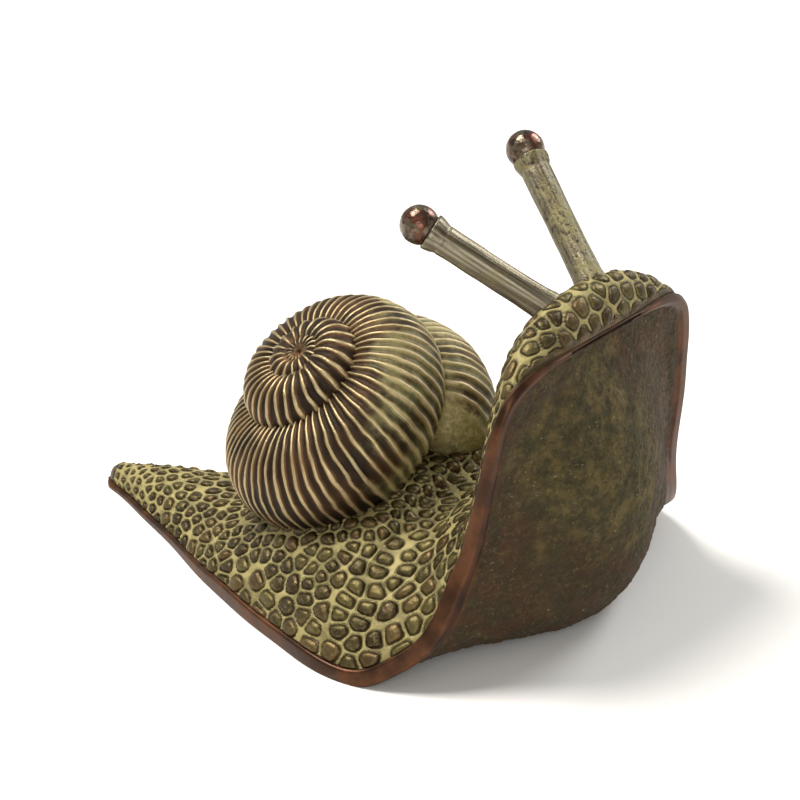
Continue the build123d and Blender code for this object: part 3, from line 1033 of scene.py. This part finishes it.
    def build(self, finish: Material) -> bpy.types.Object:
        """Build the pebbled skin.

        Args:
            finish: its material.
        Returns:
            The skin.
        """
        s, points, share = self.grid()
        dome = points[:, :self.columns]
        size, drawn, net = self.spacing(s, share)
        inset, chance = self.measure(dome, self.scatter(dome, size, drawn), net)
        crown = 1.0 - (1.0 - np.clip(inset / (self.crown_share * size), 0.0, 1.0)) ** self.crown_power
        rise = np.where(inset > 0, crown, self.net_rise * smoothstep(*self.net_ease, -inset))
        height = s.centres[:, 2:]
        near_rim = (1 - np.abs(share)[None, :]) * (s.halves + s.heights)
        above = np.einsum("ijk,ik->ij", dome - s.centres[:, None, :], s.ups) - s.rims
        near_rim = np.where(s.left < self.brow_length, np.minimum(near_rim, above), near_rim)
        plain = smoothstep(*self.plain_height, height) * (1 - smoothstep(*self.plain_reach, near_rim))
        plain = np.maximum(plain, 1 - smoothstep(*self.plain_tip, s.travel))
        rise = rise * (1 - plain) + self.level * plain
        seam = 1 - smoothstep(*self.seam_reach, near_rim)
        inset = np.where(seam > 0.5, self.seam_inset, inset * (1 - plain) + self.plain_inset * plain)
        ends = smoothstep(*self.tip_ease, s.travel)
        flat = 1 - self.head_flattening * smoothstep(*self.flat_height, height)
        relief = self.pebble_rise * size / self.rise_size * flat
        lift = (rise - self.level) * relief * ends * (1 - seam) - self.seam_depth * seam * ends
        lift += self.unevenness * (chance - 0.5) * size * ends * (1 - seam) * (inset > 0)
        lift += self.roughness * fractal(dome, self.rough_scale)
        normals = surface_normals(dome, False)
        outward = np.sign(np.einsum("ijk,ijk->", normals, dome - s.centres[:, None, :]))
        points[:, :self.columns] = dome + normals * outward * lift[..., None]
        pad = np.zeros((self.count, self.base_columns))
        fields = {"edge": inset * MM, "plain": plain, "chance": chance}
        layers = {key: np.concatenate([layer, pad], axis=1) for key, layer in fields.items()}
        return settle(lay_grid("back_skin", points, layers), "back_casting", finish)


@dataclass
class RimAndBelly:
    """The smooth rim and, within it, the rough belly, in one closed skin."""

    foot: Foot
    count: int = 400
    belly_columns: int = 190
    round_edge: float = 0.42
    round_steps: int = 6
    tip_length: float = 1.8
    tip_share: float = 0.12
    narrow_half: float = 4.0
    narrow_share: float = 0.25
    groove_depth: float = 0.28
    groove_place: float = 0.55
    groove_width: float = 0.45
    coarse_rise: float = 0.11
    fine_rise: float = 0.16
    relief_sink: float = 0.19
    coarse_scale: float = 0.40
    fine_scale: float = 1.5
    groove_ease: Pair = (0.3, 2.5)
    rough_reach: Pair = (0.15, 1.3)
    # middle of the belly's painted light, as y and z, and its spread
    lit_middle: Pair = (-3.5, 24.0)
    lit_middle_spread: Pair = (150.0, 170.0)
    floor: float = 0.25

    def profile(self) -> list[Triple]:
        """Work out the columns of the rim, from inside the back round its edge to the belly.

        Returns:
            How far in from the edge, share of the rim's height, and the lift from there, of each.
        """
        r = self.round_edge
        arc = np.linspace(0.0, math.pi / 2, self.round_steps)
        top = [(3.0, 1.0, 0.0), (1.4, 1.0, 0.0)]
        outer = [(r - r * math.sin(a), 1.0, -(r - r * math.cos(a))) for a in arc]
        lower = [(r - r * math.cos(a), 0.0, r - r * math.sin(a)) for a in arc]
        land = [(x, 0.0, 0.0) for x in np.linspace(r + 0.2, self.foot.rim_land - 0.2, 5)]
        return top + outer + lower + land

    def build(self, finish: Material) -> bpy.types.Object:
        """Build the rim and the belly.

        Args:
            finish: their material.
        Returns:
            The skin.
        """
        foot = self.foot
        s = Sections.sample(foot, self.count)
        halves = s.halves * np.maximum(round_off(s.travel, self.tip_length), self.tip_share)
        shrink = np.clip(halves / self.narrow_half, self.narrow_share, 1.0)
        right = [(-(halves - inset * shrink), s.rims * top + lift * shrink, 0.0 * halves)
                 for inset, top, lift in self.profile()]
        left = [(-across, high, rough) for across, high, rough in reversed(right)]
        inner = halves - foot.rim_land * shrink
        wide = inner * np.linspace(-1.0, 1.0, self.belly_columns)[None, :]
        spread = np.abs(wide) / np.maximum(inner * s.breadths, 1e-6)
        outline = SmoothTable([1 - w for w, h in foot.belly_shares], [(h,) for w, h in foot.belly_shares])
        deep = outline.at(np.clip(1.0 - spread, 0.0, 1.0))[..., 0] * (spread < 1.0)
        inward = inner - np.abs(wide)
        groove = self.groove_depth * np.exp(-((inward - self.groove_place) / self.groove_width) ** 2)
        groove = groove * smoothstep(*self.groove_ease, s.bellies)
        belly = (wide, groove - s.bellies * deep, smoothstep(*self.rough_reach, inward) + 0.0 * wide)
        across, high, rough = (np.concatenate(part, axis=1) for part in zip(*right, belly, *left))
        points = s.lay(across, high)
        normals = surface_normals(points, True)
        bumps = self.coarse_rise * fractal(points, self.coarse_scale, 4)
        bumps += self.fine_rise * fractal(points, self.fine_scale)
        points = points + normals * ((bumps + self.relief_sink) * rough)[..., None]
        points[:, :, 2] = np.maximum(points[:, :, 2], self.floor)
        # painted light: a share that is highest in the lit middle of the raised belly; the finish paints shade away
        # from it
        (y, z), (wide_spread, high_spread) = self.lit_middle, self.lit_middle_spread
        middle = np.exp(-(points[:, :, 1] - y) ** 2 / wide_spread - (points[:, :, 2] - z) ** 2 / high_spread)
        skin = lay_grid("rim_and_belly", points, {"sole": rough, "lit_middle": middle})
        return settle(skin, "foot_casting", finish)


@dataclass
class RibbedShell:
    """The coiled shell: a growing tube wound round its axis, with a rib every millimetre or so."""

    apex: Triple = (-29.4, -13.7, 32.8)
    axis_shares: Triple = (-0.228, -0.531, 0.816)
    coil_radius: float = 7.7
    coil_drop: float = 11.0
    fill: float = 0.82
    growth: float = 2.07
    last_growth: float = 0.95
    slow_from: float = 400.0
    slow_to: float = 500.0
    start: float = -1000.0
    lip: float = 712.0
    end: float = 752.0
    fine_step: float = 0.25
    tip_until: float = 30.0
    tip_rise: float = 0.5
    heading: float = 38.0
    ribs_first: float = 16.0
    ribs_last: float = 64.0
    ribs_ease: Pair = (-150.0, 560.0)
    tip_ease: Pair = (-700.0, -560.0)
    mouth_ease: Pair = (726.0, 738.0)
    samples: int = 10
    columns: int = 66
    hidden_columns: int = 8
    seen_arc: Pair = (-110.0, 150.0)
    rib_rise: float = 0.30
    rib_level: float = 0.45
    rib_wander: float = 0.16
    roughness: float = 0.03
    mouth_roughness: float = 0.10
    rough_scale: float = 1.4
    wander_scale: float = 0.35
    firmness: Pair = (0.82, 0.35)
    firm_scale: float = 0.22
    firm_gain: float = 1.15
    pitch_range: Pair = (0.2, 1.2)
    fade_above: Pair = (92.0, 128.0)
    fade_below: Pair = (-105.0, -80.0)
    across_view: Triple = (0.788, 0.616, 0.0)
    bloom_across: Pair = (-34.0, -14.0)
    bloom_above: Pair = (95.0, 125.0)
    bloom_height: Pair = (9.0, 19.0)
    bloom_shares: Triple = (0.75, 0.35, 1.2)

    def scale(self, angle: np.ndarray) -> np.ndarray:
        """Work out the size of the tube.

        Args:
            angle: coil angles, in degrees.
        Returns:
            The sizes, one at a full turn.
        """
        fast, slow = (math.log(g) / 360 for g in (self.growth, self.last_growth))
        grown = fast * (np.minimum(angle, self.slow_from) - 360)
        part = np.clip(angle - self.slow_from, 0.0, self.slow_to - self.slow_from)
        grown = grown + fast * part + (slow - fast) * part ** 2 / (2 * (self.slow_to - self.slow_from))
        grown = grown + slow * np.maximum(0.0, angle - self.slow_to)
        return np.exp(grown)

    def ribs_at(self, angle: np.ndarray) -> np.ndarray:
        """Work out how close the ribs stand.

        Args:
            angle: coil angles, in degrees.
        Returns:
            Ribs in a turn at each.
        """
        return self.ribs_first + (self.ribs_last - self.ribs_first) * smoothstep(*self.ribs_ease, angle)

    def windings(self) -> tuple[np.ndarray, np.ndarray, np.ndarray]:
        """Place the rings of the coil, a few to every rib.

        Returns:
            Coil angle of each ring, ribs counted up to it, and its drop from the apex.
        """
        fine = np.arange(self.start, self.end + 0.01, self.fine_step)
        rate = self.ribs_at(fine) / 360.0
        count = np.concatenate([[0.0], np.cumsum((rate[1:] + rate[:-1]) / 2 * self.fine_step)])
        ribs = np.arange(0.0, count[-1], 1.0 / self.samples)
        angle = np.interp(ribs, count, fine)
        rise = np.where(fine[:-1] < self.tip_until, self.tip_rise, 1.0)
        sizes = self.scale(fine[:-1] + self.fine_step / 2)
        drops = np.concatenate([[0.0], np.cumsum(sizes * self.fine_step * rise)])
        fast = math.log(self.growth) / 360
        begin, knee = self.scale(np.array([self.start, self.tip_until]))
        flattened = (1 - self.tip_rise) * (knee - begin)
        return angle, ribs, self.coil_drop * (begin + flattened + fast * np.interp(angle, fine, drops))

    def build(self, finish: Material) -> bpy.types.Object:
        """Build the ribbed coil.

        Args:
            finish: its material.
        Returns:
            The shell.
        """
        angle, ribs, drop = self.windings()
        size = self.scale(angle)
        past = np.maximum(angle - self.lip, 0.0) / (self.end - self.lip)
        rounded = np.sqrt(np.clip(1 - past ** 2, 0.0, 1.0))
        axis = Vector(self.axis_shares).normalized()
        heading = math.radians(self.heading)
        ahead = Vector((math.cos(heading), math.sin(heading), 0.0))
        first = (ahead - axis * ahead.dot(axis)).normalized()
        second = axis.cross(first)
        turn = np.radians(-angle)[:, None]
        out = np.array(first)[None, :] * np.cos(turn) + np.array(second)[None, :] * np.sin(turn)
        middle = np.array(self.apex)[None, :] + out * (self.coil_radius * size)[:, None]
        middle -= np.array(axis)[None, :] * drop[:, None]
        radius = self.coil_radius * self.fill * size * np.maximum(rounded, 0.02)
        low, high = self.seen_arc
        seen = np.linspace(low, high, self.columns - self.hidden_columns)
        hidden = np.linspace(high, low + 360.0, self.hidden_columns + 2)[1:-1]
        section = np.radians(np.concatenate([seen, hidden]))[None, :]
        ways = out[:, None, :] * np.cos(section)[..., None] + np.array(axis)[None, None, :] * np.sin(section)[..., None]
        spots = middle[:, None, :] + radius[:, None, None] * ways
        wander = self.rib_wander * fractal(spots, self.wander_scale, 2)
        wave = 0.5 + 0.5 * np.cos(2 * math.pi * (ribs[:, None] + wander))
        upper = np.degrees(section)
        fade = (1 - smoothstep(*self.fade_above, upper)) * smoothstep(*self.fade_below, upper)
        mouth = 1 - smoothstep(*self.mouth_ease, angle)[:, None]
        tip = smoothstep(*self.tip_ease, angle)[:, None]
        least, more = self.firmness
        firm = fade * mouth * tip * (least + more * fractal(spots, self.firm_scale, 2))
        pitch = (2 * math.pi * 1.5 * self.coil_radius * size / self.ribs_at(angle))[:, None]
        lift = self.rib_rise * np.clip(pitch, *self.pitch_range) * (wave ** 2.0 - self.rib_level) * firm
        lift += (self.roughness + self.mouth_roughness * (1 - mouth)) * fractal(spots, self.rough_scale)
        side, above, lip = self.bloom_shares
        bloom = smoothstep(*self.bloom_across, spots @ np.array(self.across_view)) * side
        bloom = (bloom + above * smoothstep(*self.bloom_above, upper)) * smoothstep(*self.bloom_height, spots[..., 2])
        bloom = np.maximum(bloom, lip * (1 - mouth))
        layers = {"wave": wave, "firm": np.clip(firm * self.firm_gain, 0.0, 1.0), "bloom": bloom,
                  "grit": 1 - mouth + 0 * wave}
        shell = lay_grid("ribbed_shell", spots + ways * lift[..., None], layers)
        return settle(shell, "shell_casting", finish)


@dataclass
class EyeStalk:
    """A drawn rod with a ring at its end, a bead on the ring and a foot in the head."""

    side: str
    reach: Triple
    foot: Foot
    base_shares: Pair = (-0.776, 0.492)
    across: float = 4.06
    diameter: float = 3.7
    foot_length: float = 1.5
    slimming: float = 0.08
    stretches: int = 60
    ring: float = 4.1
    ring_length: float = 1.0
    bead_diameter: float = 4.7
    bead_seat: float = 1.9
    bead_dents: float = 0.022
    sink: float = 0.8
    steps: int = 72
    line_depth: float = 0.018
    dent_depth: float = 0.070
    ring_dents: float = 0.13

    @property
    def lane(self) -> float:
        """Number that sets the noise of one side apart from the other's.

        Returns:
            The number.
        """
        return 1.0 if self.side == "right" else 2.0

    def line(self) -> tuple[Vector, Vector, float]:
        """Work out where the rod stands.

        Returns:
            Where it leaves the head, its way, and its length.
        """
        sign = -1.0 if self.side == "right" else 1.0
        back, up = (self.foot.neck_depth * share for share in self.base_shares)
        base = Vector((self.foot.head_lean + back, sign * self.across, self.foot.head_height + up))
        way = Vector(self.reach)
        return base, way.normalized(), way.length

    def profile(self, length: float) -> list[Pair]:
        """Work out the outline of the rod, from its foot to its ring.

        Args:
            length: of the rod.
        Returns:
            Radius and place along the rod of each corner.
        """
        r, big, start = self.diameter / 2, self.ring / 2, self.foot_length
        rows = [(0.4, -self.sink), (r + 0.10, -self.sink), (r + 0.16, 0.5), (r + 0.02, start)]
        for k in range(1, self.stretches):
            place = start + (length - start - self.ring_length - 0.2) * k / self.stretches
            rows.append((r - self.slimming * math.sin(math.pi * k / self.stretches), place))
        end = length - self.ring_length
        rows += [(r - 0.06, end - 0.35), (r + 0.02, end), (big - 0.08, end + 0.30), (big + 0.04, length - 0.25),
                 (big + 0.12, length + 0.20), (big + 0.10, length + 0.42), (big, length + 0.50),
                 (big - 0.10, length + 0.36), (big - 0.30, length + 0.05), (0.4, length)]
        return rows

    def turned(self, length: float) -> bmesh.types.BMesh:
        """Turn the rod about its outline.

        Args:
            length: of the rod.
        Returns:
            The smooth rod, upright.
        """
        bm = bmesh.new()
        verts = [bm.verts.new((radius, 0.0, place)) for radius, place in self.profile(length)]
        edges = [bm.edges.new(pair) for pair in zip(verts, verts[1:])]
        bmesh.ops.spin(bm, geom=verts + edges, cent=(0, 0, 0), axis=(0, 0, 1), angle=2 * math.pi, steps=self.steps,
                       use_merge=True, use_duplicate=False)
        bmesh.ops.remove_doubles(bm, verts=bm.verts[:], dist=1e-4)
        bmesh.ops.holes_fill(bm, edges=[e for e in bm.edges if e.is_boundary], sides=0)
        return bm

    def wear(self, bm: bmesh.types.BMesh, length: float) -> None:
        """Draw fine lines along the rod and dent it.

        Args:
            bm: the smooth rod.
            length: of the rod.
        """
        lines = bm.verts.layers.float.new("lines")
        for vert in bm.verts:
            x, y, z = vert.co
            angle = math.atan2(y, x)
            fibre = noise.noise(Vector((9 * math.cos(angle), 9 * math.sin(angle), 0.10 * z + 7 * self.lane)))
            vert[lines] = 0.5 + 0.7 * fibre
            dent = self.dent_depth * noise.noise(Vector((x * 0.9, y * 0.9, z * 0.35 + 11 * self.lane)))
            dent += self.line_depth * fibre
            if z > length - self.ring_length:
                dent += self.ring_dents * noise.noise(Vector((x * 1.3, y * 1.3, z * 1.3 + 5 * self.lane)))
            flat = Vector((x, y, 0.0))
            if flat.length > 0.6:
                vert.co += flat.normalized() * dent

    def ball(self, middle: Vector) -> bmesh.types.BMesh:
        """Shape the bead.

        Args:
            middle: of the bead.
        Returns:
            The bead, in place.
        """
        bm = bmesh.new()
        bmesh.ops.create_icosphere(bm, subdivisions=5, radius=self.bead_diameter / 2)
        for vert in bm.verts:
            vert.co *= 1.0 - self.bead_dents * abs(noise.noise(vert.co * 0.75 + Vector((3.0 * self.lane, 0, 0))))
        bmesh.ops.translate(bm, vec=middle, verts=bm.verts[:])
        return bm

    def build(self, rod: Material, bead: Material) -> None:
        """Build the rod and its bead.

        Args:
            rod: material of the rod.
            bead: material of the bead.
        """
        base, way, length = self.line()
        stalk = self.turned(length)
        self.wear(stalk, length)
        turn = way.to_track_quat("Z", "Y").to_matrix().to_4x4()
        bmesh.ops.transform(stalk, matrix=Matrix.Translation(base) @ turn, verts=stalk.verts[:])
        self.to_metres(stalk)
        bmesh.ops.recalc_face_normals(stalk, faces=stalk.faces[:])
        settle(finish_mesh("stalk_" + self.side, stalk), "eye_stalk_" + self.side, rod)
        ball = self.ball(base + way * (length + self.bead_seat))
        self.to_metres(ball)
        settle(finish_mesh("bead_" + self.side, ball), "eye_bead_" + self.side, bead)

    @staticmethod
    def to_metres(bm: bmesh.types.BMesh) -> None:
        """Bring a shape from millimetres of the work frame to the row's frame.

        Args:
            bm: the shape.
        """
        for vert in bm.verts:
            vert.co = placed(vert.co)


@dataclass
class Fixings:
    """The stud, washer, nut and pins inside the castings."""

    steel_nodes: tuple[str, ...] = ("shell_stud", "shell_washer", "shell_nut")
    bronze_nodes: tuple[str, ...] = ("foot_pins",)

    def dress(self, steel: Material, bronze: Material) -> None:
        """Give the hidden fixings their metal.

        Args:
            steel: material of the stud, washer and nut.
            bronze: material of the pins.
        """
        for names, finish in ((self.steel_nodes, steel), (self.bronze_nodes, bronze)):
            for name in names:
                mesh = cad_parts[name].data
                mesh.materials.clear()
                mesh.materials.append(finish)
                LOG.info("%s: dressed", name)


@dataclass(frozen=True)
class Lamp:
    """A soft round lamp: its place and breadth in metres, its power in watts, and its colour."""

    name: str
    place: Triple
    size: float
    power: float
    tone: Triple


@dataclass(frozen=True)
class Pale:
    """Colour and strength of the surroundings."""

    tone: Triple
    strength: float


@dataclass
class Studio:
    """Pale floor, soft lamps and the camera at the photograph's angle."""

    back: Triple = (0.5532, -0.7080, 0.4384)
    right: Triple = (0.7880, 0.6157, 0.0)
    up: Triple = (-0.2699, 0.3455, 0.8988)
    shift: Pair = (-151.0, 209.0)
    distance: float = 4000.0
    pixel: float = 0.12
    lens: float = 180.0
    sensor: float = 36.0
    clip: Pair = (0.01, 50.0)
    floor_half: float = 3.0
    floor_tone: Triple = (0.80, 0.79, 0.77)
    floor_cells: Cells = Cells(3.0, 2.0)
    floor_rough: float = 0.9
    middle: Triple = (0.0, 0.0, 0.02)
    seen: Pale = Pale((0.86, 0.86, 0.85), 0.9)
    shed: Pale = Pale((1.0, 0.985, 0.95), 0.42)
    lamps: tuple[Lamp, ...] = (
        Lamp("key", (-0.28, -0.10, 0.62), 0.35, 6.5, (1.0, 0.97, 0.92)),
        Lamp("fill", (0.45, -0.55, 0.30), 0.5, 2.2, (1.0, 0.99, 0.96)),
        Lamp("rim", (0.10, 0.55, 0.40), 0.3, 2.5, (1.0, 1.0, 1.0)))

    def camera(self) -> None:
        """Set up the camera."""
        across, rise = self.shift
        where = (Vector(self.right) * across + Vector(self.up) * rise + Vector(self.back) * self.distance) * self.pixel
        data = bpy.data.cameras.new("camera")
        data.lens = self.lens
        data.sensor_width = self.sensor
        data.clip_start, data.clip_end = self.clip
        camera = bpy.data.objects.new("camera", data)
        bpy.context.scene.collection.objects.link(camera)
        turn = Matrix((self.right, self.up, self.back)).transposed().to_4x4()
        camera.matrix_world = Matrix.Translation(placed(where)) @ turn
        bpy.context.scene.camera = camera

    def floor(self) -> None:
        """Lay the floor."""
        bm = bmesh.new()
        bmesh.ops.create_grid(bm, x_segments=1, y_segments=1, size=self.floor_half)
        floor = finish_mesh("floor", bm)
        g = Graph("pale_floor")
        tone = g.blend(g.noise(self.floor_cells), self.floor_tone, tuple(c * 0.98 for c in self.floor_tone))
        floor.data.materials.append(g.surface(tone, self.floor_rough, 0.0))

    def hang(self, lamp: Lamp) -> None:
        """Hang a lamp that looks at the snail.

        Args:
            lamp: the lamp.
        """
        data = bpy.data.lights.new(lamp.name, "AREA")
        data.shape = "DISK"
        data.size = lamp.size
        data.energy = lamp.power
        data.color = lamp.tone
        hung = bpy.data.objects.new(lamp.name, data)
        bpy.context.scene.collection.objects.link(hung)
        place = Vector(lamp.place)
        look = (Vector(self.middle) - place).to_track_quat("-Z", "Y")
        hung.matrix_world = Matrix.Translation(place) @ look.to_matrix().to_4x4()

    def world(self) -> None:
        """Set pale surroundings for the camera, dimmer as light."""
        world = bpy.data.worlds.new("studio")
        world.use_nodes = True
        tree = world.node_tree
        tree.nodes.clear()
        output = tree.nodes.new("ShaderNodeOutputWorld")
        path = tree.nodes.new("ShaderNodeLightPath")
        mix = tree.nodes.new("ShaderNodeMixShader")
        tree.links.new(path.outputs["Is Camera Ray"], mix.inputs[0])
        for socket, pale in ((1, self.shed), (2, self.seen)):
            node = tree.nodes.new("ShaderNodeBackground")
            node.inputs["Color"].default_value = (*pale.tone, 1.0)
            node.inputs["Strength"].default_value = pale.strength
            tree.links.new(node.outputs[0], mix.inputs[socket])
        tree.links.new(mix.outputs[0], output.inputs[0])
        bpy.context.scene.world = world

    def build(self) -> None:
        """Set the stage."""
        bpy.context.scene.view_settings.view_transform = "Standard"
        self.camera()
        self.floor()
        self.world()
        for lamp in self.lamps:
            self.hang(lamp)
        LOG.info("studio: camera, floor and lamps")


def main() -> None:
    """Build every piece in order."""
    logging.basicConfig(level=logging.INFO, format="%(name)s %(message)s")
    foot = Foot()
    PebbledBack(foot).build(PebbleFinish().build())
    RimAndBelly(foot).build(SoleFinish().build())
    RibbedShell().build(ShellFinish().build())
    bead = BeadFinish().build()
    rods = (("right", (-12.64, -5.74, 8.05), RodTone.SATIN), ("left", (-13.15, 5.74, 10.28), RodTone.MOTTLED))
    for side, reach, tone in rods:
        EyeStalk(side, reach, foot).build(RodFinish(tone).build(), bead)
    steel = PlainMetal("bright_steel", (0.60, 0.60, 0.60), (0.42, 0.42, 0.42)).build()
    bronze = PlainMetal("drawn_bronze", (0.55, 0.42, 0.20), (0.38, 0.27, 0.12)).build()
    Fixings().dress(steel, bronze)
    Studio().build()


if __name__ == "__main__":
    main()
